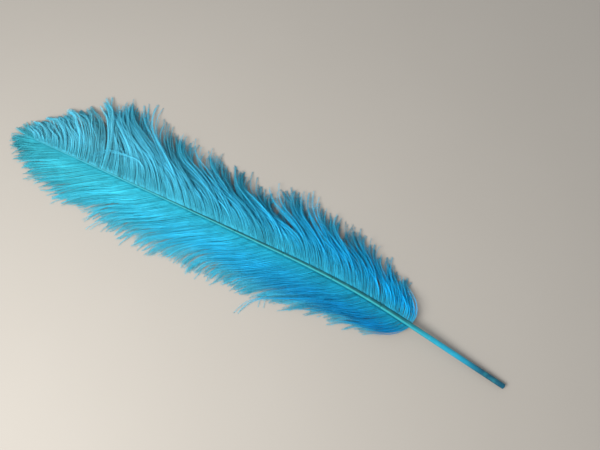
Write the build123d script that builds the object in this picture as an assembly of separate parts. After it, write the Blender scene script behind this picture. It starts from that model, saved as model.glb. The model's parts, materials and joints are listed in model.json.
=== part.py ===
from build123d import *
import os
from functools import lru_cache
from math import cos, pi, radians, sin

# One dyed ostrich plume, in millimetres.  The origin is the centre of the quill's cut end, +Z is up,
# +X runs along the quill in plan towards the tip of the plume, and +Y is the narrower, neater vane.
# The plume lies with its drooping vanes on the ground, which is one quill radius below the origin.

# ---- shaft -------------------------------------------------------------------------------------
QUILL_RADIUS = 3.2
QUILL_STRAIGHT = 60.0  # length of the parallel part of the bare quill
FIRST_JOINT = 132.0  # distance along the shaft from the cut end to the first flexing point
SHAFT_LENGTH = 648.0
SEGMENTS = 8  # flexing lengths of rachis
QUILL_PITCH = 4.0  # degrees the quill rises from the cut end
TIP_PITCH = -2.2  # degrees of pitch once the shaft has arched over
TIP_HEADING = 7.8  # degrees the shaft turns towards +Y
BEND_START = 120.0  # the quill is straight up to here
ARCH_END = 560.0  # the pitch changes slowly over most of the shaft
TURN_END = 290.0
RACHIS_WIDTH_BASE = 5.8
RACHIS_WIDTH_TIP = 1.2
RACHIS_TAPER = 1.4  # exponent of the taper: thins quickly at first, then slowly
RACHIS_HEIGHT_RATIO = 1.05
RACHIS_CHAMFER = 0.28  # corner chamfer as a share of the width
WALL_SHARE = 0.11  # rachis wall as a share of its width
KNUCKLE_CLEARANCE = 0.05
KNUCKLE_OVERHANG = 2.0  # length of the round cut past each side of the rachis
PITH_CLEARANCE = 0.02
BAR_OVERLAP = 1.0  # how far a rachis bar starts behind its joint before it is cut to shape
CUT_SIZE = 200.0  # side of the block that cuts a bar off
LINE_STEP = 2.0  # longest step when following the shaft's centre line

# ---- inside of the quill -----------------------------------------------------------------------
MOUTH_RADIUS = 2.5
MOUTH_LENGTH = 40.0
BORE_RADIUS = 2.2
BORE_END = 104.0
CAP_COUNT = 5
CAP_FIRST = 48.0
CAP_PITCH = 11.0
CAP_LENGTH = 5.0
CAP_WALL = 0.25
CAP_CLEARANCE = 0.05

# ---- vanes -------------------------------------------------------------------------------------
VANE_START = 124.0
ROOT_GAP = 0.9  # between the side of the shaft and the vane
ZONE_GAP = 1.2  # bare shaft left at each end of a zone
ROOT_THICKNESS = 2.0
EDGE_THICKNESS = 1.0
DROOP_POWER = 1.7  # 1 is a straight slope, higher starts level and falls late
NEAR = 1
FAR = -1
NEAR_LENGTH = 113.0
FAR_LENGTH = 97.0
FAR_BULGE = 18.0  # extra length of the far barbs in the outer third
FAR_BULGE_AT = 470.0
FAR_BULGE_SPAN = 75.0
BASE_LENGTH_SHARE = 0.36  # barb length at the vane's base and tip, as a share of the middle
TIP_LENGTH_SHARE = 0.30
RISE_SPAN = 85.0
FALL_FROM = 0.55  # share of the vane beyond which the barbs shorten
NEAR_ANGLES = (40.0, 35.0, 28.0)  # barb angle to the shaft at the vane's base, middle and tip
FAR_ANGLES = (80.0, 62.0, 44.0)
NEAR_SWEEP = 4.0  # how far a barb turns towards the tip along its length
FAR_SWEEP = 26.0
TIP_FAN_ANGLE = 24.0
TIP_FAN_LENGTH = 34.0
ZONE_STEPS = 3
BARB_STEPS = 6


def smooth(t):
    t = min(max(t, 0.0), 1.0)
    return t * t * (3 - 2 * t)


# ---- the shaft's centre line -------------------------------------------------------------------
def shaft_angles(s):
    arch = smooth((s - BEND_START) / (ARCH_END - BEND_START))
    turn = smooth((s - BEND_START) / (TURN_END - BEND_START))
    pitch = radians(QUILL_PITCH + (TIP_PITCH - QUILL_PITCH) * arch)
    heading = radians(TIP_HEADING * turn)
    return pitch, heading


def shaft_tangent(s):
    pitch, heading = shaft_angles(s)
    return Vector(cos(pitch) * cos(heading), cos(pitch) * sin(heading), sin(pitch))


def shaft_side(s):
    heading = shaft_angles(s)[1]
    return Vector(-sin(heading), cos(heading), 0)


@lru_cache(maxsize=None)
def shaft_point(s):
    steps = max(1, round(s / LINE_STEP))
    step = s / steps
    point = Vector(0, 0, 0)
    for i in range(steps):
        point += shaft_tangent((i + 0.5) * step) * step
    return point


def rachis_width(s):
    t = min(max((s - FIRST_JOINT) / (SHAFT_LENGTH - FIRST_JOINT), 0.0), 1.0)
    return RACHIS_WIDTH_TIP + (RACHIS_WIDTH_BASE - RACHIS_WIDTH_TIP) * (1 - t) ** RACHIS_TAPER


def half_height(s):
    return rachis_width(s) * RACHIS_HEIGHT_RATIO / 2


def joint_at(k):
    return FIRST_JOINT + (SHAFT_LENGTH - FIRST_JOINT) * k / SEGMENTS


# ---- quill -------------------------------------------------------------------------------------
def quill_plane(s):
    return Plane(origin=shaft_point(s), x_dir=shaft_side(0), z_dir=shaft_tangent(0))


def knuckle(s, radius):
    """A cylinder on the flexing axis at distance s along the shaft."""
    length = 2 * (rachis_width(s) + KNUCKLE_OVERHANG)
    axis = Plane(origin=shaft_point(s), x_dir=shaft_tangent(s), z_dir=shaft_side(s))
    return axis * Cylinder(radius, length)


def half_space(s, ahead):
    """A block that covers everything ahead of, or behind, distance s along the shaft."""
    section = Plane(origin=shaft_point(s), x_dir=shaft_side(s), z_dir=shaft_tangent(s))
    offset = CUT_SIZE / 2 if ahead else -CUT_SIZE / 2
    return section * Pos(0, 0, offset) * Box(CUT_SIZE, CUT_SIZE, CUT_SIZE)


def make_calamus():
    """The bare quill, turned about its own axis, with a round knuckle at the flexing end."""
    end = half_height(FIRST_JOINT)
    outside = Polyline(
        (MOUTH_RADIUS, 0), (QUILL_RADIUS, 0), (QUILL_RADIUS, QUILL_STRAIGHT), (end, FIRST_JOINT)
    )
    knuckle_arc = ThreePointArc(
        (end, FIRST_JOINT),
        (end * cos(pi / 4), FIRST_JOINT + end * sin(pi / 4)),
        (0, FIRST_JOINT + end),
    )
    inside = Polyline(
        (0, FIRST_JOINT + end),
        (0, BORE_END),
        (BORE_RADIUS, BORE_END),
        (BORE_RADIUS, MOUTH_LENGTH),
        (MOUTH_RADIUS, MOUTH_LENGTH),
        (MOUTH_RADIUS, 0),
    )
    profile = Plane.XZ * make_face(outside + knuckle_arc + inside)
    return quill_plane(0) * revolve(profile, Axis.Z)


def make_pulp_caps():
    """Thin dried cups nested in line inside the quill."""
    outer = BORE_RADIUS - CAP_CLEARANCE
    caps = []
    for i in range(CAP_COUNT):
        start = quill_plane(CAP_FIRST + i * CAP_PITCH)
        cup = start * extrude(Circle(outer), CAP_LENGTH)
        hollow = start * extrude(Circle(outer - CAP_WALL), CAP_LENGTH - CAP_WALL)
        caps.append(cup - hollow)
    return Compound(children=caps)


# ---- rachis ------------------------------------------------------------------------------------
def rachis_section(s, inset):
    width = rachis_width(s) - 2 * inset
    return chamfer(
        Rectangle(width, width * RACHIS_HEIGHT_RATIO).vertices(), length=width * RACHIS_CHAMFER
    )


def rachis_bar(k, inset, start, stop):
    """A tapering bar along segment k, from start to stop millimetres after its first joint."""
    a, b = joint_at(k), joint_at(k + 1)
    chord = shaft_point(b) - shaft_point(a)
    frame = Plane(origin=shaft_point(a), x_dir=shaft_side((a + b) / 2), z_dir=chord)
    low = Pos(0, 0, start) * rachis_section(a + start, inset)
    high = Pos(0, 0, stop) * rachis_section(a + stop, inset)
    return frame * loft([low, high])


def make_rachis_cortex(k):
    a, b = joint_at(k), joint_at(k + 1)
    length = (shaft_point(b) - shaft_point(a)).length
    last = k == SEGMENTS - 1
    bar = rachis_bar(k, 0, -BAR_OVERLAP, length + (0 if last else half_height(b)))
    bar = bar & half_space(a, True)
    bar = bar - knuckle(a, half_height(a) + KNUCKLE_CLEARANCE)
    if last:
        return bar
    bar = bar - (half_space(b, True) - knuckle(b, half_height(b)))
    wall = WALL_SHARE * rachis_width(b)
    return bar - rachis_bar(k, wall, -BAR_OVERLAP, length - 2 * half_height(b))


def make_rachis_pith(k):
    a, b = joint_at(k), joint_at(k + 1)
    length = (shaft_point(b) - shaft_point(a)).length
    inset = WALL_SHARE * rachis_width(b) + PITH_CLEARANCE
    start = half_height(a) + 2 * KNUCKLE_CLEARANCE
    return rachis_bar(k, inset, start, length - 2 * half_height(b) - PITH_CLEARANCE)


# ---- vanes -------------------------------------------------------------------------------------
def between(three, t):
    base, middle, tip = three
    if t < 0.5:
        return base + (middle - base) * smooth(2 * t)
    return middle + (tip - middle) * smooth(2 * t - 1)


def barb_length(side, s):
    t = (s - VANE_START) / (SHAFT_LENGTH - VANE_START)
    length = NEAR_LENGTH
    if side == FAR:
        length = FAR_LENGTH + FAR_BULGE * smooth(1 - abs(s - FAR_BULGE_AT) / (2 * FAR_BULGE_SPAN))
    rise = min((s - VANE_START) / RISE_SPAN, 1.0)
    rise = BASE_LENGTH_SHARE + (1 - BASE_LENGTH_SHARE) * (1 - (1 - rise) ** 2)
    fall = 1 - (1 - TIP_LENGTH_SHARE) * max((t - FALL_FROM) / (1 - FALL_FROM), 0.0) ** 2
    return length * rise * fall


def barb_line(start, heading, sweep, length):
    """Points along one barb: it leaves at a heading, turns by sweep and droops to the ground."""
    points = []
    x, y = start.X, start.Y
    ground = -QUILL_RADIUS + EDGE_THICKNESS / 2
    for i in range(BARB_STEPS + 1):
        u = i / BARB_STEPS
        points.append(Vector(x, y, start.Z + (ground - start.Z) * u**DROOP_POWER))
        angle = heading + sweep * (u + 0.5 / BARB_STEPS)
        x += length / BARB_STEPS * cos(angle)
        y += length / BARB_STEPS * sin(angle)
    return points


def vane_barb(side, s):
    t = (s - VANE_START) / (SHAFT_LENGTH - VANE_START)
    angle = between(NEAR_ANGLES if side == NEAR else FAR_ANGLES, t)
    sweep = NEAR_SWEEP if side == NEAR else FAR_SWEEP
    width = max(rachis_width(s), 2 * QUILL_RADIUS if s < FIRST_JOINT else 0)
    start = shaft_point(s) + shaft_side(s) * side * (width / 2 + ROOT_GAP)
    heading = shaft_angles(s)[1] + side * radians(angle)
    return barb_line(start, heading, -side * radians(sweep), barb_length(side, s))


def sheet(lines):
    """A closed thin solid over a grid of points, thickest where its lines start."""
    rows, columns = len(lines), len(lines[0])

    def corner(i, j, up):
        u = j / (columns - 1)
        thickness = ROOT_THICKNESS + (EDGE_THICKNESS - ROOT_THICKNESS) * u
        return lines[i][j] + Vector(0, 0, up * thickness / 2)

    faces = []

    def add_quad(a, b, c, d):
        for triangle in ((a, b, c), (a, c, d)):
            faces.append(Face(Wire.make_polygon([corner(*p) for p in triangle], close=True)))

    for up in (1, -1):
        for i in range(rows - 1):
            for j in range(columns - 1):
                add_quad((i, j, up), (i + 1, j, up), (i + 1, j + 1, up), (i, j + 1, up))
    for j in (0, columns - 1):
        for i in range(rows - 1):
            add_quad((i, j, 1), (i + 1, j, 1), (i + 1, j, -1), (i, j, -1))
    for i in (0, rows - 1):
        for j in range(columns - 1):
            add_quad((i, j, 1), (i, j + 1, 1), (i, j + 1, -1), (i, j, -1))
    return Solid(Shell(faces))


def make_zone(side, start, stop):
    """The barbs of one side that grow between two distances along the shaft, as one sheet."""
    low, high = start + ZONE_GAP, stop - ZONE_GAP
    spots = [low + (high - low) * i / ZONE_STEPS for i in range(ZONE_STEPS + 1)]
    return sheet([vane_barb(side, s) for s in spots])


def make_tip_barbs():
    """The fan of barbs that carries on past the end of the shaft."""
    start = shaft_point(SHAFT_LENGTH)
    ahead = shaft_tangent(SHAFT_LENGTH)
    across = shaft_side(SHAFT_LENGTH)
    heading = shaft_angles(SHAFT_LENGTH)[1]
    lines = []
    for i in range(ZONE_STEPS + 1):
        spread = 2 * i / ZONE_STEPS - 1
        root = start + ahead * ROOT_GAP + across * spread * RACHIS_WIDTH_TIP / 2
        lines.append(barb_line(root, heading + spread * radians(TIP_FAN_ANGLE), 0, TIP_FAN_LENGTH))
    return sheet(lines)


# ---- all pieces --------------------------------------------------------------------------------
def make_parts():
    parts = {"calamus": make_calamus(), "pulp_caps": make_pulp_caps()}
    parts["near_base_down"] = make_zone(NEAR, VANE_START, FIRST_JOINT)
    parts["far_base_down"] = make_zone(FAR, VANE_START, FIRST_JOINT)
    for k in range(SEGMENTS):
        number = k + 1
        parts[f"rachis_cortex_{number}"] = make_rachis_cortex(k)
        if number < SEGMENTS:
            parts[f"rachis_pith_{number}"] = make_rachis_pith(k)
        parts[f"near_vane_{number}"] = make_zone(NEAR, joint_at(k), joint_at(k + 1))
        parts[f"far_vane_{number}"] = make_zone(FAR, joint_at(k), joint_at(k + 1))
    parts["tip_barbs"] = make_tip_barbs()
    return parts


os.makedirs("parts", exist_ok=True)
for node, shape in make_parts().items():
    export_step(shape, f"parts/{node}.step")
    print(node, "volume", round(shape.volume, 1), "mm3")
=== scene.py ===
import json
import math

import bpy
import numpy as np
from mathutils import Matrix, Vector

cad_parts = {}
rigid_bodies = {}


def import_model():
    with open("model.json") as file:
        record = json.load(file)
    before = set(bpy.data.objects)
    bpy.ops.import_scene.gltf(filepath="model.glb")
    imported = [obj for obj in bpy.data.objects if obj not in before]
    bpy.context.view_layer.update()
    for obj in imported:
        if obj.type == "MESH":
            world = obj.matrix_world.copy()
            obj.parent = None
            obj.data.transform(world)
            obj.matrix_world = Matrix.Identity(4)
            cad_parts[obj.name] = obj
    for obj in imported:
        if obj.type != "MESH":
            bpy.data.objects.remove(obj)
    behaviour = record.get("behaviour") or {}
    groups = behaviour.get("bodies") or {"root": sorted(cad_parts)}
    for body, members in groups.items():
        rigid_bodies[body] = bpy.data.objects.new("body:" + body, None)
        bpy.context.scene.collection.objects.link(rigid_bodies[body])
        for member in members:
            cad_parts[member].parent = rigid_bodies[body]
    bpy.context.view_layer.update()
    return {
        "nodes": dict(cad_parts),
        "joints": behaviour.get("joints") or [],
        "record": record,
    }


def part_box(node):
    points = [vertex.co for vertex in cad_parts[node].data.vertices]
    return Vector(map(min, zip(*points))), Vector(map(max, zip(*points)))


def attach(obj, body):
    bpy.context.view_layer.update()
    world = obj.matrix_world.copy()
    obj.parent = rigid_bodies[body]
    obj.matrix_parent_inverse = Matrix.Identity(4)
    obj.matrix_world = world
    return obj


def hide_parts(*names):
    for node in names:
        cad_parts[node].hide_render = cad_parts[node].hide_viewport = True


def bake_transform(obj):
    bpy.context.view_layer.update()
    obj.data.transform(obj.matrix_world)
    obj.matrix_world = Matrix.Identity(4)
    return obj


# A single dyed ostrich plume on a pale floor.  Lengths are millimetres until a mesh is made.
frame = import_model()
rng = np.random.default_rng(31)

MM = 0.001
JOINTS = frame["joints"]
BODIES = [JOINTS[0]["parent"]] + [joint["child"] for joint in JOINTS]
MOUNTS = {mount["name"]: mount for mount in frame["record"]["mounts"]}
QUILL_RADIUS = MOUNTS["quill_pin"]["dims"]["r_mm"]
MOUTH_RADIUS = MOUNTS["quill_mouth"]["dims"]["r_mm"]
GROUND = -QUILL_RADIUS

# ---- shaft -------------------------------------------------------------------------------------
QUILL_STRAIGHT = 60.0
QUILL_PIECE_END = 100.0
MOUTH_RIM = 0.18  # rounding of the cut end
BORE_RADIUS = 2.2
BORE_STEP = 40.0  # the wide mouth ends here and the narrower bore goes on
BORE_END = 99.0
BORE_POINT = 0.02  # radius that the bore closes to
RACHIS_WIDTH_BASE = 5.8
RACHIS_WIDTH_TIP = 1.2
RACHIS_TAPER = 1.4
RACHIS_HEIGHT_RATIO = 1.05
SHAFT_RING_STEP = 2.0
NESTING = 0.03  # the rachis starts this much slimmer, inside the end of the quill piece
SHAFT_SIDES = 24
SHAFT_SQUARENESS = 3.0  # superellipse power of the rachis; 2 is round
GROOVE_DEPTH = 0.22  # of the width, along the underside
GROOVE_WIDTH = 0.3  # of the half width
END_TAPER = 0.35  # size of the shaft's very end, as a share of its section
END_POINT = 0.6  # how far that end is drawn out

# ---- vanes -------------------------------------------------------------------------------------
NEAR = 1
FAR = -1
VANE_START = 124.0
RINGS = 20  # points along one barb
BARB_WIDTH = 0.75
BARB_TIP_WIDTH = 0.16
BARB_HEIGHT_RATIO = 0.45
BARB_REST = 0.6  # height above the ground at which barbs come to rest
BARB_LOWEST = 0.25
BARBULE_PITCH = 0.85
BARBULE_LENGTH = 4.6
BARBULE_WIDTH = 0.26
BARBULE_LOWEST = 0.08
BARBULE_FIRST = 0.015  # share of the barb before its first barbule
BARBULE_SPAN = 0.98  # share of the barb that carries barbules
BARBULE_TURN = 9.0  # spread of the barbules' angles in degrees
BARBULE_TILT = 12.0  # spread of their tilts
VANE_MARGIN = 5.0  # barbs may be rooted this far past a vane's ends

# ---- fan at the tip ----------------------------------------------------------------------------
TIP_REACH = 42.0  # how far the fan goes past the end of the shaft
TIP_BARBS = 44
TIP_SPREAD = 30.0  # degrees to each side
TIP_BEND = 10.0
TIP_ROOTS = 9.0  # length of shaft that carries the fan
TIP_REST = 0.8
TIP_DROOP = 1.4


def smooth(t):
    t = np.clip(t, 0.0, 1.0)
    return t * t * (3 - 2 * t)


def unit(v):
    return v / np.maximum(np.linalg.norm(v, axis=-1, keepdims=True), 1e-9)


# ---- the shaft's centre line, from the frame's joints ------------------------------------------
def shaft_end():
    """The far end of the centre line, from the box of the last length of rachis."""
    low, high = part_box(f"rachis_cortex_{len(JOINTS)}")
    half = RACHIS_WIDTH_TIP / 2
    return np.array([high.x / MM, high.y / MM - half, low.z / MM + half])


def shaft_line():
    """Distances, points and directions along the shaft, one per millimetre."""
    quill = -np.array(MOUNTS["quill_pin"]["axis"])
    knots = [np.zeros(3)] + [np.array(joint["pos_m"]) / MM for joint in JOINTS] + [shaft_end()]
    knots = np.array(knots)
    turns = np.zeros_like(knots)
    turns[:2] = quill
    turns[2:-1] = unit(knots[3:] - knots[1:-2])
    turns[-1] = unit(knots[-1] - knots[-2])
    spans = np.linalg.norm(np.diff(knots, axis=0), axis=1)
    at = np.concatenate([[0.0], np.cumsum(spans)])
    distance = np.linspace(0.0, at[-1], int(at[-1]) + 1)
    k = np.clip(np.searchsorted(at, distance, side="right") - 1, 0, len(spans) - 1)
    t = ((distance - at[k]) / spans[k])[:, None]
    span = spans[k][:, None]
    points = (
        (2 * t**3 - 3 * t**2 + 1) * knots[k]
        + (t**3 - 2 * t**2 + t) * span * turns[k]
        + (3 * t**2 - 2 * t**3) * knots[k + 1]
        + (t**3 - t**2) * span * turns[k + 1]
    )
    return distance, points, unit(np.gradient(points, axis=0)), at


LINE_AT, LINE_POINT, LINE_TURN, KNOT_AT = shaft_line()
SHAFT_LENGTH = LINE_AT[-1]
JOINT_AT = KNOT_AT[1:-1]
SEGMENT = (SHAFT_LENGTH - JOINT_AT[0]) / len(JOINTS)


def on_line(table, s):
    return np.stack([np.interp(s, LINE_AT, table[:, i]) for i in range(3)], axis=-1)


def shaft_point(s):
    return on_line(LINE_POINT, s)


def shaft_turn(s):
    return unit(on_line(LINE_TURN, s))


def shaft_side(s):
    turn = shaft_turn(s)
    flat = np.stack([-turn[..., 1], turn[..., 0], np.zeros_like(turn[..., 0])], axis=-1)
    return unit(flat)


def shaft_heading(s):
    turn = shaft_turn(s)
    return np.arctan2(turn[..., 1], turn[..., 0])


def rachis_width(s):
    t = np.clip((s - JOINT_AT[0]) / (SHAFT_LENGTH - JOINT_AT[0]), 0.0, 1.0)
    return RACHIS_WIDTH_TIP + (RACHIS_WIDTH_BASE - RACHIS_WIDTH_TIP) * (1 - t) ** RACHIS_TAPER


def shaft_width(s):
    """Full width: the round quill, easing into the rachis where the vanes start."""
    mix = smooth((s - QUILL_STRAIGHT) / (JOINT_AT[0] - QUILL_STRAIGHT))
    return 2 * QUILL_RADIUS * (1 - mix) + rachis_width(s) * mix


def region_edges():
    """Distances along the shaft where one piece hands over to the next."""
    edges = [JOINT_AT[0] - SEGMENT / 2]
    for here, following in zip(JOINT_AT[:-1], JOINT_AT[1:]):
        edges.append((here + following) / 2)
    edges.append(JOINT_AT[-1] + SEGMENT / 2)
    return edges


EDGES = region_edges()


# ---- meshes ------------------------------------------------------------------------------------
def new_mesh(name, points, triangles, uv, attributes, material, flat=0):
    """A mesh object from arrays: points in mm, corner indices, uv per point, floats per point.

    The last triangles, as many as flat says, are the flat ends of a bar; the others are smooth."""
    mesh = bpy.data.meshes.new(name)
    mesh.vertices.add(len(points))
    mesh.vertices.foreach_set("co", (points * MM).astype(np.float32).ravel())
    mesh.loops.add(triangles.size)
    mesh.loops.foreach_set("vertex_index", triangles.astype(np.int32).ravel())
    mesh.polygons.add(len(triangles))
    mesh.polygons.foreach_set("loop_start", np.arange(0, triangles.size, 3, dtype=np.int32))
    mesh.polygons.foreach_set("use_smooth", np.arange(len(triangles)) < len(triangles) - flat)
    layer = mesh.uv_layers.new(name="OFBake")
    layer.data.foreach_set("uv", uv[triangles.ravel()].astype(np.float32).ravel())
    for key, values in attributes.items():
        attribute = mesh.attributes.new(key, "FLOAT", "POINT")
        attribute.data.foreach_set("value", values.astype(np.float32))
    mesh.update(calc_edges=True)
    mesh.materials.append(material)
    piece = bpy.data.objects.new(name, mesh)
    bpy.context.scene.collection.objects.link(piece)
    return piece


def ring_triangles(rings, sides):
    """Triangles of a closed tube of rings: its walls and the caps at its two ends."""
    ring, side = np.meshgrid(np.arange(rings - 1), np.arange(sides), indexing="ij")
    a = ring * sides + side
    b = ring * sides + (side + 1) % sides
    c, d = b + sides, a + sides
    walls = np.concatenate(
        [np.stack([a, b, c], -1).reshape(-1, 3), np.stack([a, c, d], -1).reshape(-1, 3)]
    )
    fan = np.arange(1, sides - 1)
    low = np.stack([np.zeros_like(fan), fan + 1, fan], -1)
    last = (rings - 1) * sides
    high = last + np.stack([np.zeros_like(fan), fan, fan + 1], -1)
    return walls, low, high


# ---- shaft pieces ------------------------------------------------------------------------------
def shaft_section(s):
    """One ring of points round the shaft at each distance s."""
    around = np.linspace(0, 2 * np.pi, SHAFT_SIDES, endpoint=False)
    mix = smooth((s - QUILL_STRAIGHT) / (JOINT_AT[0] - QUILL_STRAIGHT))[:, None]
    power = 2 / (2 + (SHAFT_SQUARENESS - 2) * mix)
    across = np.sign(np.cos(around)) * np.abs(np.cos(around)) ** power
    upward = np.sign(np.sin(around)) * np.abs(np.sin(around)) ** power
    groove = GROOVE_DEPTH * mix * np.exp(-((across / GROOVE_WIDTH) ** 2)) * (upward < 0)
    width = shaft_width(s)[:, None] / 2
    height = width * (1 + (RACHIS_HEIGHT_RATIO - 1) * mix)
    upward = upward + 2 * groove
    side = shaft_side(s)
    up = np.cross(shaft_turn(s), side)
    return (
        shaft_point(s)[:, None, :]
        + side[:, None, :] * (across * width)[:, :, None]
        + up[:, None, :] * (upward * height)[:, :, None]
    )


def shaft_attributes(s):
    """Share of the length, and place across from -1 on the far side to 1 on the near side."""
    around = np.linspace(0, 2 * np.pi, SHAFT_SIDES, endpoint=False)
    return {
        "along": np.repeat(s / SHAFT_LENGTH, SHAFT_SIDES),
        "across": np.tile(np.cos(around), len(s)),
    }


def rachis_piece(name, start, stop, material, taper_end):
    """One length of rachis; the first one starts slimmer, inside the end of the quill piece."""
    count = max(3, int(round((stop - start) / SHAFT_RING_STEP)) + 1)
    s = np.linspace(start, stop, count)
    rings = shaft_section(s)
    if start < QUILL_PIECE_END:
        inside = (s <= QUILL_PIECE_END)[:, None, None]
        centre = shaft_point(s)[:, None, :]
        rings = np.where(inside, rings - unit(rings - centre) * NESTING, rings)
    if taper_end:
        centre = rings[-1].mean(axis=0)
        rings[-1] = centre + (rings[-1] - centre) * END_TAPER
        rings[-1] += shaft_turn(s[-1:]) * END_POINT
    points = rings.reshape(-1, 3)
    walls, low, high = ring_triangles(count, SHAFT_SIDES)
    u = np.tile(np.arange(SHAFT_SIDES) / SHAFT_SIDES, count)
    v = np.repeat((s - start) / (stop - start), SHAFT_SIDES)
    attributes = shaft_attributes(s)
    triangles = np.concatenate([walls, low, high])
    ends = len(low) + len(high)
    return new_mesh(name, points, triangles, np.stack([u, v], -1), attributes, material, ends)


def quill_piece(material):
    """The bare quill with its open mouth: an outer wall, a rounded rim and a stepped bore."""
    rim = MOUTH_RIM
    wall_at = np.arange(SHAFT_RING_STEP, QUILL_PIECE_END, SHAFT_RING_STEP)
    outer_at = np.concatenate([[0.0, rim / 3, rim], wall_at, [QUILL_PIECE_END]])
    outer_in = np.concatenate([[rim, rim / 3, 0.0], np.zeros(len(outer_at) - 3)])
    inner_at = np.array([BORE_END, BORE_END, BORE_STEP, BORE_STEP, rim, 0.0])
    inner_r = np.array([BORE_POINT, BORE_RADIUS, BORE_RADIUS, MOUTH_RADIUS, MOUTH_RADIUS, MOUTH_RADIUS + rim])
    outer = shaft_section(outer_at)
    centre = shaft_point(outer_at)[:, None, :]
    outer = outer - unit(outer - centre) * outer_in[:, None, None]
    around = np.linspace(0, 2 * np.pi, SHAFT_SIDES, endpoint=False)
    side = shaft_side(inner_at)
    up = np.cross(shaft_turn(inner_at), side)
    inner = shaft_point(inner_at)[:, None, :] + inner_r[:, None, None] * (
        side[:, None, :] * np.cos(around)[:, None] + up[:, None, :] * np.sin(around)[:, None]
    )
    at = np.concatenate([inner_at, outer_at])
    rings = np.concatenate([inner, outer])
    walls, low, high = ring_triangles(len(at), SHAFT_SIDES)
    u = np.tile(np.arange(SHAFT_SIDES) / SHAFT_SIDES, len(at))
    v = np.repeat(np.linspace(0, 1, len(at)), SHAFT_SIDES)
    triangles = np.concatenate([walls, low, high])
    ends = len(low) + len(high)
    return new_mesh(
        "quill", rings.reshape(-1, 3), triangles, np.stack([u, v], -1), shaft_attributes(at), material,
        ends,
    )


# ---- the law that every barb follows -----------------------------------------------------------
# Every barb leaves the shaft at its root angle, sweeps towards the tip of the plume until it runs at
# the middle angle, and turns to its end angle.  Degrees from the shaft, at shares of the vane's length.
STATIONS = (0.0, 0.08, 0.2, 0.35, 0.5, 0.6, 0.7, 0.8, 0.9, 1.0)
LAWS = {
    NEAR: {
        "length": (50, 88, 108, 104, 108, 107, 104, 90, 70, 34),
        "root": (60, 48, 42, 40, 37, 36, 34, 33, 30, 22),
        "middle": (27, 25, 25, 26, 27, 27, 26, 24, 18, 8),
        "end": (24, 40, 56, 68, 60, 48, 36, 30, 20, 8),
        "sweep_by": 0.5,
        "end_from": 0.65,
        "droop": 1.6,
    },
    FAR: {
        "length": (34, 75, 110, 107, 134, 145, 124, 104, 72, 34),
        "root": (88, 68, 58, 52, 50, 52, 60, 74, 72, 50),
        "middle": (50, 30, 22, 20, 22, 28, 38, 52, 40, 20),
        "end": (70, 78, 74, 68, 66, 64, 56, 30, 0, -14),
        "sweep_by": 0.5,
        "end_from": 0.55,
        "droop": 1.7,
    },
}
# The far vane's large tufts: distance of their roots along the shaft, and extra length as a share.
FAR_TUFTS = (
    (135, 0.04), (149, -0.05), (163, 0.03), (182, 0.09), (200, 0.06), (216, -0.06), (232, 0.02),
    (250, 0.02), (266, 0.02), (278, -0.03), (293, 0.04), (308, 0.0), (326, -0.08), (343, 0.02),
    (361, -0.07), (379, 0.0), (394, -0.08), (408, -0.07), (422, -0.12), (437, 0.03), (453, 0.0),
    (470, 0.0), (488, -0.03), (505, 0.05), (521, -0.06), (538, -0.02), (556, -0.03), (577, 0.03),
    (594, -0.02), (610, 0.0), (626, 0.02), (640, 0.0),
)
# How one barb differs from the law: degrees added to the root, middle and end angles, degrees of
# waviness, extra length as a share, height in the middle, at the end and where it rests, and phase of the
# waves in radians.
TRAITS = ("turn", "sweep", "flick", "wave", "length", "loft", "lift", "rest", "phase")
GATHER_FROM = {NEAR: 0.4, FAR: 0.54}  # share of a barb beyond which locks gather
END_SPREAD = {NEAR: 0.0, FAR: 0.3}  # how far the last fifth of a lock opens again
TIP_CLUMPS = {NEAR: 0.0, FAR: 0.9}  # how far the outer ends gather into locks at the tip
BASE_RUFFLE = {NEAR: 0.4, FAR: 1.1}  # extra disorder of single barbs at the base
WAVE_TURNS = {NEAR: 9.0, FAR: 6.0}  # radians of waviness along one barb
WAVE_SPACING = {NEAR: 150.0, FAR: 90.0}  # shaft length over which the waves shift by one turn
ROOT_OUT = 0.42  # barb roots stand this share of the shaft's width from its centre line
ROOT_UP = 0.16  # and this share above it


def vane_share(s):
    return (s - VANE_START) / (SHAFT_LENGTH - VANE_START)


def law_at(side, key, s):
    return np.interp(vane_share(s), STATIONS, LAWS[side][key])


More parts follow.
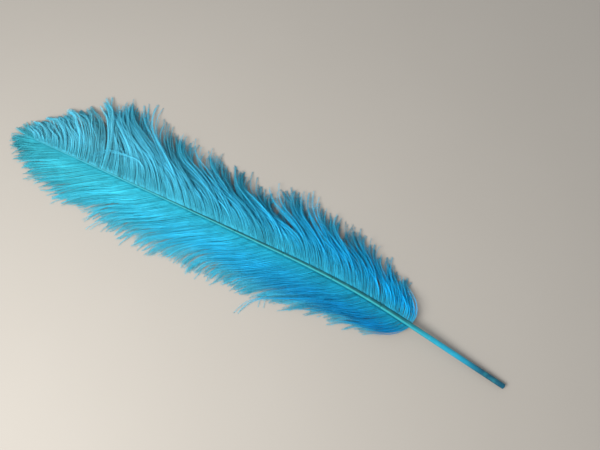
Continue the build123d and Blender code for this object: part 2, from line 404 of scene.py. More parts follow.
def barb_paths(side, s, traits):
    """Points along barbs rooted at s.  Each trait is one number per barb."""
    law = LAWS[side]
    u = np.linspace(0, 1, RINGS)[None, :]
    column = {key: traits[key][:, None] for key in TRAITS}
    root_angle = law_at(side, "root", s)[:, None] + column["turn"]
    middle_angle = law_at(side, "middle", s)[:, None] + column["sweep"]
    end_angle = law_at(side, "end", s)[:, None] + column["flick"]
    angle = root_angle + (middle_angle - root_angle) * smooth(u / law["sweep_by"])
    angle = angle + (end_angle - middle_angle) * smooth((u - law["end_from"]) / (1 - law["end_from"]))
    phase = 2 * np.pi * s[:, None] / WAVE_SPACING[side] + column["phase"]
    angle = angle + column["wave"] * np.sin(u * WAVE_TURNS[side] + phase) * smooth(u * 3)
    heading = shaft_heading(s)[:, None] + side * np.radians(angle)
    length = law_at(side, "length", s) * (1 + traits["length"])
    step = length[:, None] / (RINGS - 1)
    stride = np.stack([np.cos(heading), np.sin(heading)], -1) * step[:, :, None]
    travel = np.concatenate([np.zeros_like(stride[:, :1]), np.cumsum(stride[:, :-1], axis=1)], axis=1)
    width = shaft_width(s)
    root = shaft_point(s) + shaft_side(s) * (side * width * ROOT_OUT)[:, None]
    root[:, 2] += width * ROOT_UP
    ground = GROUND + BARB_REST + np.abs(column["rest"])
    z = root[:, 2:3] + (ground - root[:, 2:3]) * u ** law["droop"]
    z = z + column["loft"] * np.sin(np.pi * u) + column["lift"] * smooth((u - 0.45) / 0.55)
    path = np.concatenate([root[:, None, :2] + travel, z[:, :, None]], axis=2)
    path[:, :, 2] = np.maximum(path[:, :, 2], GROUND + BARB_LOWEST)
    return path


def spread_centres(spacing, unevenness):
    count = max(2, int(round((SHAFT_LENGTH - VANE_START) / spacing)))
    centres = VANE_START + (np.arange(count) + 0.5) * (SHAFT_LENGTH - VANE_START) / count
    return centres + rng.uniform(-unevenness, unevenness, count) * spacing


def nearest(values, centres):
    return np.abs(values[:, None] - centres[None, :]).argmin(axis=1)


def wander(spacing):
    """Smooth noise along the shaft, as a function of distance."""
    first = VANE_START - 2 * spacing
    values = rng.standard_normal(int((SHAFT_LENGTH - first) / spacing) + 4)

    def noise(s):
        x = (s - first) / spacing
        i = x.astype(int)
        t = smooth(x - i)
        return values[i] * (1 - t) + values[i + 1] * t

    return noise


def draw(count, amounts):
    return {key: amounts.get(key, 0.0) * rng.standard_normal(count) for key in TRAITS}


def plus(a, b):
    return {key: a[key] + b[key] for key in TRAITS}


def chosen_from(traits, group):
    return {key: traits[key][group] for key in TRAITS}


# Three layers for each vane: the main one, one close below it, and a thin one of loose strands on top.
# Pitch, locks and strands are distances along the shaft between barbs, locks and strands.  The strand pull
# closes a strand up near its roots and near its ends, and the lock pull closes the outer part of a lock.
# Middle is the layer's own traits and drift their slow change along the shaft.  Lock, strand and barb are
# the spreads of traits from one to the next.  Tone is the spread of value by lock, strand and barb, shade
# is its middle: painted shade that darkens the layers below, in the gaps between strands, and painted light
# that lightens the loose strands on top.  Spike scales the barbules' thickness, and keep is the share of
# strands that are there.
LAYERS = {
    NEAR: (
        {
            "pitch": 1.2,
            "locks": 16.0,
            "strands": 3.4,
            "strand_pull": (0.28, 0.25),
            "lock_pull": 0.03,
            "middle": {"wave": 4.5, "loft": 1.5},
            "drift": {"turn": 1.5, "sweep": 2.0, "length": 0.02, "wave": 1.5, "phase": 0.6, "flick": 3.0},
            "drift_spacing": 34.0,
            "lock": {"sweep": 0.5, "flick": 3.0, "length": 0.015},
            "strand": {"sweep": 0.8, "flick": 5.0, "length": 0.03, "loft": 0.5, "phase": 0.2, "rest": 0.5},
            "barb": {"turn": 0.8, "sweep": 1.2, "flick": 9.0, "length": 0.10, "loft": 0.4, "phase": 0.3},
            "tone": (0.10, 0.50, 0.80),
            "shade": 0.0,
            "spike": 1.0,
            "keep": 1.0,
        },
        {
            "pitch": 1.25,
            "locks": 18.0,
            "strands": 5.5,
            "strand_pull": (0.05, 0.10),
            "lock_pull": 0.03,
            "middle": {"wave": 3.0, "loft": -0.4, "sweep": 1.5, "length": -0.06},
            "drift": {"turn": 1.5, "sweep": 2.0, "length": 0.03, "wave": 1.0, "phase": 0.5, "flick": 3.0},
            "drift_spacing": 30.0,
            "lock": {"sweep": 0.6, "flick": 3.0, "length": 0.02},
            "strand": {"sweep": 1.0, "flick": 5.0, "length": 0.06, "loft": 0.4, "phase": 0.2, "rest": 0.3},
            "barb": {"turn": 1.0, "sweep": 1.2, "flick": 9.0, "length": 0.08, "loft": 0.2, "phase": 0.3},
            "tone": (0.1, 0.3, 0.3),
            # Painted shade: this layer below is darker.
            "shade": -0.15,
            "spike": 1.5,
            "keep": 1.0,
        },
        {
            "pitch": 1.5,
            "locks": 25.0,
            "strands": 4.5,
            "strand_pull": (0.45, 0.3),
            "lock_pull": 0.0,
            "middle": {"wave": 5.5, "loft": 1.4, "length": -0.05},
            "drift": {"turn": 1.5, "sweep": 2.0, "length": 0.02, "wave": 1.5, "phase": 0.6, "flick": 3.0},
            "drift_spacing": 34.0,
            "lock": {},
            "strand": {"sweep": 2.2, "flick": 8.0, "length": 0.06, "loft": 0.5, "phase": 0.4},
            "barb": {"turn": 0.6, "sweep": 0.6, "flick": 6.0, "length": 0.08, "loft": 0.3, "phase": 0.2},
            "tone": (0.0, 0.3, 0.3),
            # Painted light: the loose strands on top are lighter.
            "shade": 0.45,
            "spike": 0.8,
            "keep": 0.35,
        },
    ),
    FAR: (
        {
            "pitch": 1.3,
            "strands": 3.6,
            "strand_pull": (0.05, 0.40),
            "lock_pull": 0.26,
            "middle": {"wave": 2.5, "loft": 2.0, "lift": 2.5},
            "drift": {"turn": 2.0, "sweep": 4.0, "length": 0.02, "wave": 1.0, "phase": 0.6, "flick": 4.0},
            "drift_spacing": 30.0,
            "lock": {"sweep": 3.5, "flick": 7.0, "length": 0.02, "loft": 1.0, "lift": 1.2, "rest": 0.4},
            "strand": {"sweep": 4.0, "flick": 10.0, "length": 0.08, "loft": 1.0, "phase": 0.3, "lift": 0.8},
            "barb": {"turn": 1.0, "sweep": 3.2, "flick": 12.0, "length": 0.08, "loft": 0.6, "phase": 0.4},
            "tone": (0.4, 0.8, 0.6),
            "shade": -0.1,
            "spike": 1.0,
            "keep": 1.0,
        },
        {
            "pitch": 1.25,
            "strands": 6.0,
            "strand_pull": (0.05, 0.25),
            "lock_pull": 0.20,
            "middle": {"wave": 2.5, "loft": -0.4, "lift": 0.3, "sweep": 8.0, "length": -0.10},
            "drift": {"turn": 2.0, "sweep": 4.0, "length": 0.03, "wave": 1.0, "phase": 0.6, "flick": 5.0},
            "drift_spacing": 26.0,
            "lock": {"sweep": 4.0, "flick": 9.0, "length": 0.04, "lift": 0.5, "rest": 0.4},
            "strand": {"sweep": 2.5, "flick": 9.0, "length": 0.07, "loft": 0.5, "phase": 0.3},
            "barb": {"turn": 1.2, "sweep": 1.8, "flick": 10.0, "length": 0.08, "loft": 0.2, "phase": 0.3},
            "tone": (0.2, 0.3, 0.3),
            # Painted shade: this layer below is darker, in the gaps between strands.
            "shade": -1.0,
            "spike": 1.5,
            "keep": 1.0,
        },
        {
            "pitch": 1.5,
            "strands": 4.0,
            "strand_pull": (0.15, 0.60),
            "lock_pull": 0.0,
            "middle": {"wave": 2.5, "loft": 3.0, "lift": 2.0, "sweep": -10.0, "length": -0.06},
            "drift": {"turn": 2.0, "sweep": 4.0, "length": 0.02, "wave": 1.0, "phase": 0.6, "flick": 5.0},
            "drift_spacing": 30.0,
            "lock": {},
            "strand": {"sweep": 6.0, "flick": 10.0, "length": 0.10, "loft": 1.0, "phase": 0.4},
            "barb": {"turn": 0.8, "sweep": 1.0, "flick": 6.0, "length": 0.06, "loft": 0.3, "phase": 0.2},
            "tone": (0.0, 0.4, 0.3),
            # Painted light: the loose strands on top are lighter.
            "shade": 1.0,
            "spike": 0.8,
            "keep": 0.45,
        },
    ),
}

# Single barbs that have come loose from the rest, as differences from the law at their roots.
STRAYS = {
    NEAR: (
        {"at": 198.0, "turn": -3.0, "sweep": 2.0, "flick": 28.0, "length": 0.44},
        {"at": 200.0, "turn": -3.0, "sweep": 2.0, "flick": 31.0, "length": 0.49},
        {"at": 202.0, "turn": -3.0, "sweep": 3.0, "flick": 33.0, "length": 0.42},
        {"at": 431.0, "sweep": 3.0, "flick": 12.0, "length": 0.12},
        {"at": 433.0, "sweep": 3.0, "flick": 10.0, "length": 0.15},
        {"at": 214.0, "flick": 66.0, "length": 0.02},
        {"at": 216.5, "flick": 60.0, "length": 0.05},
    ),
    FAR: (
        {
            "at": 487.0, "turn": 18.0, "sweep": -44.0, "flick": -113.0, "length": -0.20, "loft": 7.0,
            "lift": 17.0,
        },
        {
            "at": 489.0, "turn": 18.0, "sweep": -43.0, "flick": -111.0, "length": -0.19, "loft": 7.0,
            "lift": 18.0,
        },
    ),
}
STRAY_TONE = 1.0


def stray_paths(side):
    strays = STRAYS[side]
    s = np.array([stray["at"] for stray in strays])
    traits = {key: np.array([stray.get(key, 0.0) for stray in strays]) for key in TRAITS}
    return s, barb_paths(side, s, traits), np.full(len(s), STRAY_TONE), np.ones(len(s))


def lock_centres(side, layer):
    """Roots of the locks and their extra lengths; the far vane's tufts stand at known places."""
    if side == FAR:
        tufts = np.array(FAR_TUFTS, dtype=float)
        return tufts[:, 0], tufts[:, 1]
    centres = spread_centres(layer["locks"], 0.3)
    return centres, np.zeros(len(centres))


def close_up(side, layer, s, path, strand_path, lock_path):
    """Draws barbs towards the middle of their strand, and their outer parts towards their lock."""
    u = np.linspace(0, 1, RINGS)[None, :, None]
    early, late = layer["strand_pull"]
    path = path + (strand_path - path) * (early * smooth(u / 0.4) + late * smooth((u - 0.45) / 0.55))
    at_tip = TIP_CLUMPS[side] * smooth((vane_share(s) - 0.68) / 0.12)[:, None, None]
    lock_pull = layer["lock_pull"] + (1 - layer["lock_pull"]) * at_tip
    gather = smooth((u - GATHER_FROM[side]) / (1 - GATHER_FROM[side]))
    gather = gather * (1 - END_SPREAD[side] * smooth((u - 0.8) / 0.2))
    return path + (lock_path - path) * lock_pull * gather


def layer_tones(layer, lock_count, strand_count, in_lock, in_strand):
    by_lock, by_strand, by_barb = layer["tone"]
    # The layer's middle value is painted light and shade: darker for the layers below, lighter for the loose
    # strands on top.
    tone = layer["shade"] + rng.standard_normal(lock_count)[in_lock] * by_lock
    tone = tone + rng.standard_normal(strand_count)[in_strand] * by_strand
    return tone + rng.standard_normal(len(in_lock)) * by_barb


def layer_paths(side, layer):
    """One layer of a vane: its barbs' root distances, path points, tones and barbule thicknesses."""
    s = np.arange(VANE_START, SHAFT_LENGTH - 0.5, layer["pitch"])
    s = s + rng.uniform(-0.3, 0.3, len(s)) * layer["pitch"]
    locks, lock_extra = lock_centres(side, layer)
    strands = spread_centres(layer["strands"], 0.3)
    noises = {key: wander(layer["drift_spacing"]) for key in TRAITS}

    def common(at):
        made = {}
        for key in TRAITS:
            made[key] = layer["middle"].get(key, 0.0) + layer["drift"].get(key, 0.0) * noises[key](at)
        return made

    in_lock, in_strand, strand_lock = nearest(s, locks), nearest(s, strands), nearest(strands, locks)
    lock_own = draw(len(locks), layer["lock"])
    lock_own["length"] = lock_own["length"] + lock_extra
    strand_own = plus(draw(len(strands), layer["strand"]), chosen_from(lock_own, strand_lock))
    ruffle = 1 + BASE_RUFFLE[side] * (1 - smooth(vane_share(s) / 0.25))
    barb_own = draw(len(s), layer["barb"])
    barb_own = {key: values * ruffle for key, values in barb_own.items()}
    barb_own = plus(barb_own, chosen_from(strand_own, in_strand))
    lock_path = barb_paths(side, locks, plus(common(locks), lock_own))[in_lock]
    strand_path = barb_paths(side, strands, plus(common(strands), strand_own))[in_strand]
    path = barb_paths(side, s, plus(common(s), barb_own))
    path = close_up(side, layer, s, path, strand_path, lock_path)
    tone = layer_tones(layer, len(locks), len(strands), in_lock, in_strand)
    kept = (rng.uniform(0, 1, len(strands)) < layer["keep"])[in_strand]
    return s[kept], path[kept], tone[kept], np.full(kept.sum(), layer["spike"])


def vane_paths(side):
    """All layers of one vane and its stray barbs, in order along the shaft."""
    parts = [layer_paths(side, layer) for layer in LAYERS[side]] + [stray_paths(side)]
    s, path, tone, spike = (np.concatenate(group) for group in zip(*parts))
    order = np.argsort(s)
    return s[order], path[order], tone[order], spike[order]


# ---- barb meshes -------------------------------------------------------------------------------
def barb_tubes(path, width):
    """Three-sided tapering tubes with a ridge on top; returns points and triangles."""
    count = len(path)
    turn = unit(np.gradient(path, axis=1))
    lateral = unit(np.cross(np.array([0.0, 0.0, 1.0]), turn))
    up = np.cross(turn, lateral)
    half = width[:, :, None] / 2
    tall = half * 2 * BARB_HEIGHT_RATIO
    foot = path - up * tall / 3
    ridge = path + up * tall * 2 / 3
    points = np.stack([foot - lateral * half, ridge, foot + lateral * half], axis=2)
    walls, low, high = ring_triangles(RINGS, 3)
    one = np.concatenate([walls, low, high])
    triangles = (one[None] + (np.arange(count) * RINGS * 3)[:, None, None]).reshape(-1, 3)
    return points.reshape(-1, 3), triangles, turn, lateral, up


def barbule_roots(path):
    """Where the barbules of one edge stand: the barb's index and the place along it."""
    length = np.linalg.norm(np.diff(path, axis=1), axis=2).sum(axis=1)
    counts = np.maximum(3, (length / BARBULE_PITCH).astype(int))
    barb = np.repeat(np.arange(len(path)), counts)
    order = np.arange(len(barb)) - np.repeat(np.cumsum(counts) - counts, counts)
    u = (order + rng.uniform(0, 1, len(barb))) / counts[barb]
    return barb, BARBULE_FIRST + BARBULE_SPAN * u


def at_place(values, barb, u):
    """Values interpolated along barbs at place u."""
    x = u * (RINGS - 1)
    i = np.clip(x.astype(int), 0, RINGS - 2)
    t = (x - i)[:, None]
    return values[barb, i] * (1 - t) + values[barb, i + 1] * t


def barbule_spikes(path, turn, lateral, up, spike, look):
    """Thin closed spikes that fringe both edges of every barb."""
    all_points, all_barbs, all_u = [], [], []
    for sign in (-1, 1):
        barb, u = barbule_roots(path)
        count = len(barb)
        base = at_place(path, barb, u)
        t = unit(at_place(turn, barb, u))
        side = unit(at_place(lateral, barb, u)) * sign
        rise = unit(at_place(up, barb, u))
        angle = look["angle"] + look["angle_end"] * u**3 + BARBULE_TURN * rng.standard_normal(count)
        open_angle = np.radians(angle)
        tilt = np.radians(look["tilt"] + BARBULE_TILT * rng.standard_normal(count))
        ahead = t * np.cos(open_angle)[:, None]
        away = (side * np.cos(tilt)[:, None] + rise * np.sin(tilt)[:, None]) * np.sin(open_angle)[:, None]
        length = BARBULE_LENGTH * look["length"] * (0.35 + 0.65 * smooth(u / 0.2)) * (1 - 0.5 * u**6)
        length = length * rng.uniform(0.65, 1.2, count)
        tip = base + (ahead + away) * length[:, None]
        tip[:, 2] = np.maximum(tip[:, 2], GROUND + BARBULE_LOWEST)
        half = BARBULE_WIDTH / 2 * spike[barb][:, None]
        points = np.stack([base - t * half, base + t * half, base + rise * half, tip], axis=1)
        all_points.append(points)
        all_barbs.append(barb)
        all_u.append(u)
    points = np.concatenate(all_points)
    barb, u = np.concatenate(all_barbs), np.concatenate(all_u)
    one = np.array([[0, 2, 1], [0, 1, 3], [1, 2, 3], [2, 0, 3]])
    triangles = (one[None] + (np.arange(len(barb)) * 4)[:, None, None]).reshape(-1, 3)
    return points.reshape(-1, 3), triangles, barb, u


# Barbules: degrees from the barb, more degrees at its end, degrees above level, and length scale.
LOOKS = {
    NEAR: {"angle": 20.0, "angle_end": 8.0, "tilt": -12.0, "length": 1.0},
    FAR: {"angle": 26.0, "angle_end": 22.0, "tilt": -8.0, "length": 1.05},
}
# Places across a barb's own strip of the UV map.
UV_BARB = 0.3
UV_BARBULE_ROOT = 0.45
UV_BARBULE_TIP = 0.8


def barb_piece(name, s, path, tone, spike, look, material):
    """Barbs and their barbules as one mesh; each barb has its own strip of the UV map."""
    count = len(path)
    along = np.linspace(0, 1, RINGS)
    width = BARB_TIP_WIDTH + (BARB_WIDTH - BARB_TIP_WIDTH) * (1 - along[None, :] ** 1.5) * np.ones((count, 1))
    points, triangles, turn, lateral, up = barb_tubes(path, width)
    spikes, spike_triangles, barb, u = barbule_spikes(path, turn, lateral, up, spike, look)
    tube_u = np.repeat((np.arange(count) + UV_BARB) / count, RINGS * 3)
    tube_v = np.tile(np.repeat(along, 3), count)
    spike_root, spike_tip = (barb + UV_BARBULE_ROOT) / count, (barb + UV_BARBULE_TIP) / count
    spike_u = np.stack([spike_root] * 3 + [spike_tip], axis=1).ravel()
    spike_v = np.repeat(u, 4)
    along_all = np.concatenate([tube_v, spike_v])
    station = vane_share(s)
    attributes = {
        "along": along_all,
        "tone": np.concatenate([np.repeat(tone, RINGS * 3), np.repeat(tone[barb], 4)]),
        "station": np.concatenate([np.repeat(station, RINGS * 3), np.repeat(station[barb], 4)]),
        "reach": np.concatenate([np.zeros(len(points)), np.tile([0.0, 0.0, 0.0, 1.0], len(barb))]),
    }
    uv = np.stack([np.concatenate([tube_u, spike_u]), along_all * 0.98 + 0.01], -1)
    triangles = np.concatenate([triangles, spike_triangles + len(points)])
    return new_mesh(name, np.concatenate([points, spikes]), triangles, uv, attributes, material)


# ---- materials ---------------------------------------------------------------------------------
class Shader:
    """Short calls for building one node material."""

    def __init__(self, name):
        self.material = bpy.data.materials.new(name)
        self.material.use_nodes = True
        self.tree = self.material.node_tree
        self.surface = self.tree.nodes["Principled BSDF"]

    def node(self, kind, **inputs):
        made = self.tree.nodes.new(kind)
        for key, value in inputs.items():
            self.feed(made.inputs[key.replace("_", " ")], value)
        return made

    def feed(self, socket, value):
        if isinstance(value, bpy.types.NodeSocket):
            self.tree.links.new(value, socket)
        else:
            socket.default_value = value

    def attribute(self, name):
        made = self.tree.nodes.new("ShaderNodeAttribute")
        made.attribute_name = name
        return made.outputs["Fac"]

    def math(self, operation, a, b=0.0):
        made = self.tree.nodes.new("ShaderNodeMath")
        made.operation = operation
        self.feed(made.inputs[0], a)
        self.feed(made.inputs[1], b)
        return made.outputs[0]

    def remap(self, value, low, high, to_low, to_high):
        made = self.tree.nodes.new("ShaderNodeMapRange")
        made.interpolation_type = "SMOOTHSTEP"
        for i, item in enumerate((value, low, high, to_low, to_high)):
            self.feed(made.inputs[i], item)
        return made.outputs[0]

    def mix(self, factor, a, b, kind="MIX"):
        made = self.tree.nodes.new("ShaderNodeMix")
        made.data_type = "RGBA"
        made.blend_type = kind
        for key, value in (("Factor_Float", factor), ("A_Color", a), ("B_Color", b)):
            socket = next(i for i in made.inputs if i.identifier == key)
            self.feed(socket, (*value, 1.0) if isinstance(value, tuple) else value)
        return next(o for o in made.outputs if o.identifier == "Result_Color")

    def noise(self, scale, detail=2.0, stretch=(1, 1, 1)):
        place = self.tree.nodes.new("ShaderNodeTexCoord").outputs["Object"]
        mapping = self.node("ShaderNodeMapping", Vector=place)
        mapping.inputs["Scale"].default_value = stretch
        made = self.node("ShaderNodeTexNoise", Vector=mapping.outputs[0], Scale=scale, Detail=detail)
        return made.outputs["Fac"]

    def finish(self, colour, roughness, bump=None, strength=0.1, **plain):
        self.feed(self.surface.inputs["Base Color"], colour)
        self.feed(self.surface.inputs["Roughness"], roughness)
        for key, value in plain.items():
            self.feed(self.surface.inputs[key.replace("_", " ")], value)
        if bump is not None:
            made = self.node("ShaderNodeBump", Height=bump, Strength=strength, Distance=0.0004)
            self.feed(self.surface.inputs["Normal"], made.outputs[0])
        return self.material


# Dye on the barbs at the plume's base, middle and tip, with painted shade at the barbs' roots: darker and
# greener along the rachis.  End is the colour at the barbs' ends, lighter on the near vane; on the far vane
# it is darker, painted shade on the drooping outer tufts that face away from the key.  Contrast is the
# difference in value between barbs, and tip_value scales the value at the tip of the plume.
BARB_DYES_AND_SHADE = {
    "near": {
        "base": (0.002, 0.26, 0.57),
        "body": (0.018, 0.45, 0.74),
        "tip": (0.070, 0.68, 0.84),
        # Painted shade: darker, greener barb roots along the rachis.
        "root": (0.012, 0.31, 0.42),
        "end": (0.10, 0.64, 0.80),
        "contrast": 0.16,
        "tip_value": 0.68,
    },
    "far": {
        "base": (0.006, 0.53, 0.98),
        "body": (0.036, 0.56, 0.86),
        "tip": (0.140, 0.66, 0.84),
        # Painted shade: darker, greener barb roots along the rachis.
        "root": (0.036, 0.36, 0.48),
        # Painted shade: the far vane's darker barb ends.
        "end": (0.044, 0.42, 0.60),
        "contrast": 0.18,
        "tip_value": 1.0,
    },
    "tip": {
        "base": (0.006, 0.30, 0.56),
        "body": (0.020, 0.40, 0.62),
        "tip": (0.070, 0.56, 0.70),
        # Painted shade: darker, greener barb roots along the rachis.
        "root": (0.03, 0.32, 0.40),
        "end": (0.08, 0.58, 0.72),
        "contrast": 0.16,
        "tip_value": 0.9,
    },
}


def barb_material(name, base, body, tip, root, end, contrast, tip_value):
    shader = Shader(name)
    along = shader.attribute("along")
    station = shader.attribute("station")
    tone = shader.attribute("tone")
    reach = shader.attribute("reach")
    colour = shader.mix(shader.remap(station, 0.0, 0.42, 0.0, 1.0), base, body)
    colour = shader.mix(shader.remap(station, 0.25, 0.85, 0.0, 1.0), colour, tip)
    # Painted shade: barbs darker and greener near their roots, along the rachis.
    colour = shader.mix(shader.remap(along, 0.0, 0.4, 0.7, 0.0), colour, root)
    # The end colour: on the far vane painted shade, darkening the drooping outer tufts that face away from
    # the key; lighter on the near vane.
    end_share = shader.remap(along, 0.5, 0.95, 0.0, 0.8)
    end_share = shader.math("MULTIPLY", end_share, shader.remap(station, 0.5, 0.9, 1.0, 0.3))
    colour = shader.mix(end_share, colour, end)
    blotch = shader.noise(90.0, 3.0)
    # Tone holds random differences between barbs and the layers' painted light and shade.
    value = shader.math("MULTIPLY", tone, shader.remap(along, 0.1, 0.5, contrast * 0.5, contrast))
    value = shader.math("ADD", value, shader.remap(blotch, 0.3, 0.7, 0.94, 1.06))
    value = shader.math("ADD", value, shader.math("MULTIPLY", reach, 0.12))
    value = shader.math("MULTIPLY", value, shader.remap(station, 0.7, 1.0, 1.0, tip_value))
    scale = shader.node("ShaderNodeCombineColor", Red=value, Green=value, Blue=value).outputs[0]
    colour = shader.mix(1.0, colour, scale, "MULTIPLY")
    roughness = shader.remap(shader.noise(400.0), 0.3, 0.7, 0.5, 0.7)
    fibre = shader.noise(2500.0, 1.0)
    return shader.finish(colour, roughness, bump=fibre, strength=0.15, Specular_IOR_Level=0.12)


HORN_CUT = (0.002, 0.07, 0.13)
HORN_QUILL = (0.010, 0.30, 0.47)
HORN_RACHIS = (0.020, 0.33, 0.38)
HORN_TIP = (0.045, 0.36, 0.46)
# Painted shade: dark green along the rachis's far side, which faces away from the key and meets the far vane.
PAINTED_SHADE_LINE = (0.002, 0.10, 0.12)
HORN_STREAK = (0.005, 0.14, 0.18)
HORN_BLOTCH = (0.05, 0.50, 0.52)


def shaft_material(name):
    """Dyed horn: dark at the cut end, with a dark green line of painted shade along its far side in the
    vanes.
    """
    shader = Shader(name)
    along = shader.attribute("along")
    across = shader.attribute("across")
    colour = shader.mix(shader.remap(along, 0.035, 0.10, 0.0, 1.0), HORN_CUT, HORN_QUILL)
    colour = shader.mix(shader.remap(along, 0.10, 0.24, 0.0, 1.0), colour, HORN_RACHIS)
    colour = shader.mix(shader.remap(along, 0.55, 0.95, 0.0, 1.0), colour, HORN_TIP)
    # Painted shade along the far side of the rachis, from the start of the vanes to near the tip.
    line = shader.remap(across, 0.05, 0.3, 1.0, 0.0)
    line = shader.math("MULTIPLY", line, shader.remap(along, 0.14, 0.22, 0.0, 1.0))
    line = shader.math("MULTIPLY", line, shader.remap(along, 0.6, 0.82, 1.0, 0.0))
    colour = shader.mix(line, colour, PAINTED_SHADE_LINE)
    streak = shader.noise(60.0, 4.0, stretch=(1, 40, 40))
    colour = shader.mix(shader.remap(streak, 0.35, 0.75, 0.0, 0.3), colour, HORN_STREAK)
    blotch = shader.noise(130.0, 3.0)
    colour = shader.mix(shader.remap(blotch, 0.45, 0.8, 0.0, 0.2), colour, HORN_BLOTCH)
    roughness = shader.remap(along, 0.10, 0.25, 0.30, 0.50)
    roughness = shader.math("ADD", roughness, shader.remap(blotch, 0.3, 0.7, 0.0, 0.12))
    return shader.finish(colour, roughness, bump=streak, strength=0.2, Specular_IOR_Level=0.3)


def pulp_material():
    shader = Shader("pulp")
    grain = shader.noise(500.0, 3.0)
    colour = shader.mix(grain, (0.35, 0.55, 0.52), (0.50, 0.66, 0.60))
    return shader.finish(colour, 0.7, bump=grain, strength=0.3)


def floor_material():
    shader = Shader("floor")
    grain = shader.noise(5.0, 4.0)
    colour = shader.mix(grain, (0.36, 0.335, 0.30), (0.38, 0.355, 0.32))
    return shader.finish(colour, 0.75)


def blend_shaft(piece):
    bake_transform(piece)


def blend_vane(piece):
    """Bakes the transform of a stretch of vane into its mesh."""
    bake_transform(piece)


def place_piece(piece, k, side=None):
    """The last region rides on the tip body; the others have their transforms baked into their meshes."""
    if k == len(JOINTS):
        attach(piece, BODIES[-1])
    elif side is None:
        blend_shaft(piece)
    else:
        blend_vane(piece)


def build_shaft(materials):
    quill = quill_piece(materials["quill"])
    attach(quill, BODIES[0])
    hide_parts("calamus")
    stops = [QUILL_PIECE_END - SHAFT_RING_STEP] + EDGES[1:] + [SHAFT_LENGTH]
    for k in range(len(JOINTS) + 1):
        last = k == len(JOINTS)
        piece = rachis_piece(f"rachis_{k + 1}", stops[k], stops[k + 1], materials["rachis"], last)
        place_piece(piece, k)
        if not last:
            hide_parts(f"rachis_cortex_{k + 1}")
            if k + 1 < len(JOINTS):
                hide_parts(f"rachis_pith_{k + 1}")


def build_vane(side, label, material):
    s, path, tone, spike = vane_paths(side)
    bounds = [VANE_START - VANE_MARGIN] + EDGES[1:] + [SHAFT_LENGTH + VANE_MARGIN]
    for k in range(len(JOINTS) + 1):
        chosen = (s >= bounds[k]) & (s < bounds[k + 1])
        piece = barb_piece(
            f"{label}_barbs_{k + 1}", s[chosen], path[chosen], tone[chosen], spike[chosen], LOOKS[side],
            material,
        )
        place_piece(piece, k, side)
        if k < len(JOINTS):
            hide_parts(f"{label}_vane_{k + 1}")
        if k == 0:
            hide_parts(f"{label}_base_down")


def build_tip(material):
    """The fan of barbs past the end of the shaft."""
    count = TIP_BARBS
    spread = np.linspace(-1, 1, count) + rng.uniform(-0.03, 0.03, count)
    u = np.linspace(0, 1, RINGS)[None, :]
    length = TIP_REACH * rng.uniform(0.8, 1.05, count)
    bend = rng.normal(0, TIP_BEND, count)[:, None] * u
    angle = float(shaft_heading(np.array(SHAFT_LENGTH))) + np.radians(spread[:, None] * TIP_SPREAD + bend)
    step = length[:, None] / (RINGS - 1)
    travel = np.stack([np.cos(angle) * step, np.sin(angle) * step], -1)
    travel = np.concatenate([np.zeros((count, 1, 2)), np.cumsum(travel[:, :-1], axis=1)], axis=1)
    root_at = SHAFT_LENGTH - TIP_ROOTS * np.abs(spread)
    root = shaft_point(root_at) + shaft_side(root_at) * (spread * 0.5)[:, None]
    z = root[:, 2:3] + (GROUND + TIP_REST - root[:, 2:3]) * u**TIP_DROOP
    path = np.concatenate([root[:, None, :2] + travel, z[:, :, None]], axis=2)
    tone = rng.standard_normal(count) * 0.5
    piece = barb_piece("tip_fan", root_at, path, tone, np.ones(count), LOOKS[FAR], material)
    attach(piece, BODIES[-1])
    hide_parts("tip_barbs")


def build_plume():
    materials = {"quill": shaft_material("quill"), "rachis": shaft_material("rachis")}
    for name, dye_and_shade in BARB_DYES_AND_SHADE.items():
        materials[name] = barb_material(f"{name}_barbs", **dye_and_shade)
    build_shaft(materials)
    build_vane(NEAR, "near", materials["near"])
    build_vane(FAR, "far", materials["far"])
    build_tip(materials["tip"])
    caps = frame["nodes"]["pulp_caps"]
    caps.data.materials.clear()
    caps.data.materials.append(pulp_material())


# ---- stage, light and camera, in metres --------------------------------------------------------
FLOOR_HALF = 4.0
CAMERA_AT = (0.1990, 0.1183, 0.6183)
CAMERA_HEADING = (0.5480, -0.8365)
CAMERA_PITCH = 73.68  # degrees below level
CAMERA_LENS = 31.2
PLUME_CENTRE = (0.36, 0.02, 0.0)
KEY_LIGHT = {"size": 0.7, "power": 17.0, "colour": (1.0, 0.98, 0.95)}
FILL_LIGHT = {"size": 1.6, "power": 0.8, "colour": (0.93, 0.97, 1.0)}
SKY_COLOUR = (0.95, 0.97, 1.0, 1.0)
SKY_STRENGTH = 0.57


def add_floor():
    mesh = bpy.data.meshes.new("floor")
    half = FLOOR_HALF
    corners = [(-half, -half, 0), (half, -half, 0), (half, half, 0), (-half, half, 0)]
    mesh.from_pydata(corners, [], [(0, 1, 2, 3)])
    mesh.materials.append(floor_material())
    floor = bpy.data.objects.new("floor", mesh)
    bpy.context.scene.collection.objects.link(floor)
    floor.location.z = GROUND * MM
    lower_with_pose(floor)


def add_foot(name, place, body=None):
    """An empty at ground height that follows a body, or stays where it is."""
    foot = bpy.data.objects.new(name, None)
    bpy.context.scene.collection.objects.link(foot)
    if body:
        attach(foot, body)
    foot.matrix_world = Matrix.Translation((place[0] * MM, place[1] * MM, GROUND * MM))
    return foot


def lower_with_pose(floor):
    """Keeps the floor under the plume when a pose bends it below the height it rests at."""
    feet = [add_foot("foot_rest", shaft_point(np.array(0.0)))]
    for k, end in enumerate(EDGES[1:] + [SHAFT_LENGTH + TIP_REACH]):
        place = shaft_point(np.array(end)) + shaft_turn(np.array(end)) * max(0.0, end - SHAFT_LENGTH)
        feet.append(add_foot(f"foot_{k + 1}", place, BODIES[k]))
    driver = floor.driver_add("location", 2).driver
    driver.type = "MIN"
    for foot in feet:
        variable = driver.variables.new()
        variable.type = "TRANSFORMS"
        target = variable.targets[0]
        target.id = foot
        target.transform_type = "LOC_Z"
        target.transform_space = "WORLD_SPACE"


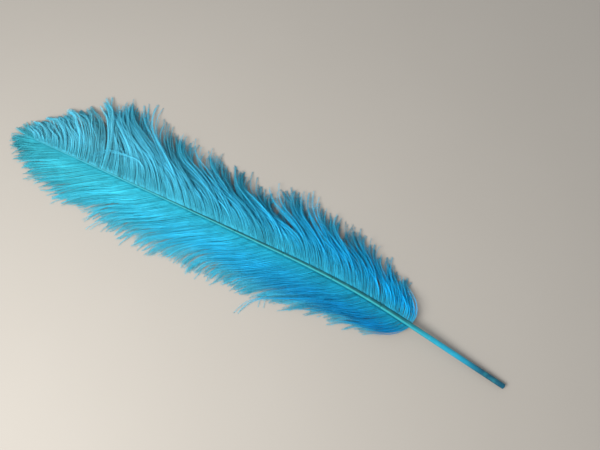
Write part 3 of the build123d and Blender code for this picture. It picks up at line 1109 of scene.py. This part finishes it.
def add_area(name, location, target, size, power, colour):
    data = bpy.data.lights.new(name, "AREA")
    data.shape = "DISK"
    data.size = size
    data.energy = power
    data.color = colour
    lamp = bpy.data.objects.new(name, data)
    bpy.context.scene.collection.objects.link(lamp)
    lamp.location = location
    lamp.rotation_mode = "QUATERNION"
    lamp.rotation_quaternion = (target - location).to_track_quat("-Z", "Y")


def add_camera():
    """A steep view over the plume; returns the level directions to its right and ahead."""
    data = bpy.data.cameras.new("camera")
    data.sensor_width = 36.0
    data.lens = CAMERA_LENS
    data.clip_start = 0.01
    camera = bpy.data.objects.new("camera", data)
    bpy.context.scene.collection.objects.link(camera)
    pitch = math.radians(CAMERA_PITCH)
    ahead = Vector((CAMERA_HEADING[0], CAMERA_HEADING[1], 0.0)).normalized()
    look = ahead * math.cos(pitch) - Vector((0, 0, 1)) * math.sin(pitch)
    right = ahead.cross(Vector((0, 0, 1)))
    up = right.cross(look)
    camera.location = CAMERA_AT
    rotation = Matrix((right, up, -look)).transposed()
    camera.rotation_mode = "QUATERNION"
    camera.rotation_quaternion = rotation.to_quaternion()
    bpy.context.scene.camera = camera
    return right, ahead


def add_light(right, ahead):
    """A soft key high on the camera's left, a weaker one from its right and an even sky."""
    centre = Vector(PLUME_CENTRE)
    below_camera = Vector((CAMERA_AT[0], CAMERA_AT[1], 0.0))
    up = Vector((0, 0, 1))
    key = below_camera - right * 0.60 - ahead * 0.28 + up * 0.88
    fill = centre + right * 1.3 + ahead * 0.6 + up * 1.6
    add_area("key", key, centre, **KEY_LIGHT)
    add_area("fill", fill, centre, **FILL_LIGHT)
    world = bpy.data.worlds.new("sky")
    world.use_nodes = True
    sky = world.node_tree.nodes["Background"]
    sky.inputs["Color"].default_value = SKY_COLOUR
    sky.inputs["Strength"].default_value = SKY_STRENGTH
    bpy.context.scene.world = world


build_plume()
add_floor()
camera_right, camera_ahead = add_camera()
add_light(camera_right, camera_ahead)
bpy.context.scene.view_settings.view_transform = "Standard"
bpy.context.view_layer.update()
